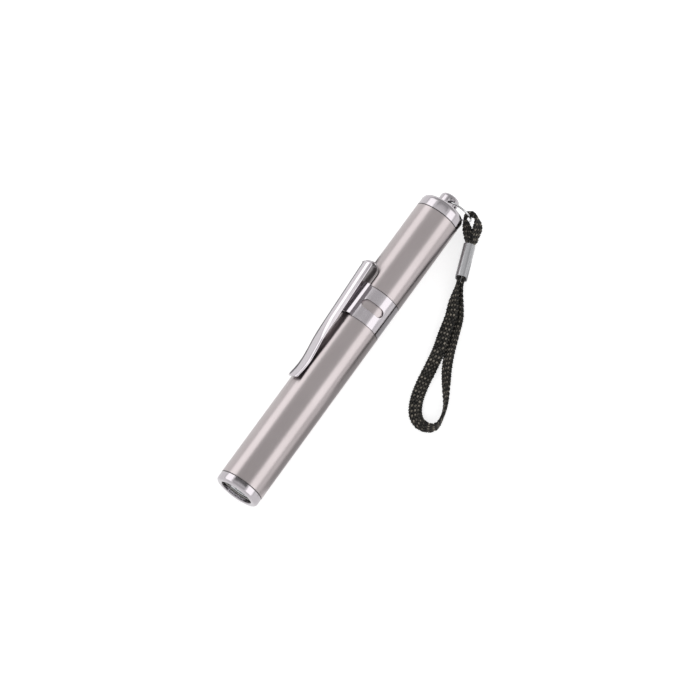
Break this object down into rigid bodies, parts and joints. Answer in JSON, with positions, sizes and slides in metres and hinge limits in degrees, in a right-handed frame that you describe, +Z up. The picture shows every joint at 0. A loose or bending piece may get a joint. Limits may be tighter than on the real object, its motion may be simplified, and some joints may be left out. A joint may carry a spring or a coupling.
{
  "type": "egg candler flashlight",
  "caption": "Slim stainless pen light for candling eggs, with a sprung pocket clip, a screw-down tail cap that switches it, a split ring and a flat braided wrist strap.",
  "frame": {"origin": "centre of the footprint at ground level, with the light lying on its side", "axes": "+X along the beam, out of the lens; +Z up; the strap lies on the +Y side and the clip leans towards -Y"},
  "size_m": [0.1102, 0.0454, 0.0159],
  "materials": {
    "satin_stainless": "fine satin",
    "polished_stainless": "polished",
    "clip_steel": "polished",
    "vacuum_chrome": "mirror",
    "clear_lens": "clear",
    "black_rubber": "matte",
    "led_phosphor": "matte",
    "white_board": "matte",
    "green_board": "lacquered",
    "chip_epoxy": "matte",
    "brass": "plain",
    "spring_steel": "bright",
    "liner_plastic": "matte",
    "cell_wrap": "printed film, left plain",
    "ferrule_aluminium": "satin",
    "black_braid": "woven"
  },
  "bodies": {
    "barrel": {"barrel_tube": "satin_stainless", "battery_front": "cell_wrap", "battery_liner": "liner_plastic", "battery_rear": "cell_wrap", "board_retainer": "brass", "clip_band": "polished_stainless", "clip_base": "clip_steel", "driver_board": "green_board", "driver_chip": "chip_epoxy", "front_contact_spring": "spring_steel", "head_bezel": "polished_stainless", "head_seal": "black_rubber", "led_board": "white_board", "led_emitter": "led_phosphor", "lens": "clear_lens", "lens_gasket": "black_rubber", "reflector": "vacuum_chrome"},
    "seal_carrier": {"tail_seal": "black_rubber"},
    "tail_cap": {"tail_cap": "polished_stainless", "tail_spring": "spring_steel", "tail_spring_seat": "brass"},
    "split_ring": {"split_ring": "spring_steel"},
    "strap": {"wrist_strap": "black_braid", "strap_ferrule": "ferrule_aluminium"},
    "clip_arm": {"clip_arm": "clip_steel"}
  },
  "joints": [
    {"name": "tail_cap_travel", "type": "slide", "parent": "barrel", "child": "seal_carrier", "axis": [-1, 0, 0], "range_m": [0, 0.00375]},
    {"name": "tail_cap_turn", "type": "hinge", "parent": "seal_carrier", "child": "tail_cap", "pos_m": [-0.0494, 0, 0.00697], "axis": [-1, 0, 0], "range_deg": [0, 1800]},
    {"name": "ring_swing", "type": "hinge", "parent": "tail_cap", "child": "split_ring", "pos_m": [-0.0529, 0, 0.00697], "axis": [0, 0.4226, 0.9063], "range_deg": [0, 70]},
    {"name": "strap_swing", "type": "hinge", "parent": "split_ring", "child": "strap", "pos_m": [-0.0529, 0.00779, 0.00334], "axis": [0, 0.4226, 0.9063], "range_deg": [0, 14]},
    {"name": "clip_flex", "type": "hinge", "parent": "barrel", "child": "clip_arm", "pos_m": [-0.0215, -0.00651, 0.01304], "axis": [0, -0.682, -0.7314], "range_deg": [0, 6], "stiffness_Nm_per_rad": 0.1}
  ],
  "couplings": [
    {"joint": "tail_cap_travel", "follows": "tail_cap_turn", "m_per_rad": 0.00011937}
  ]
}
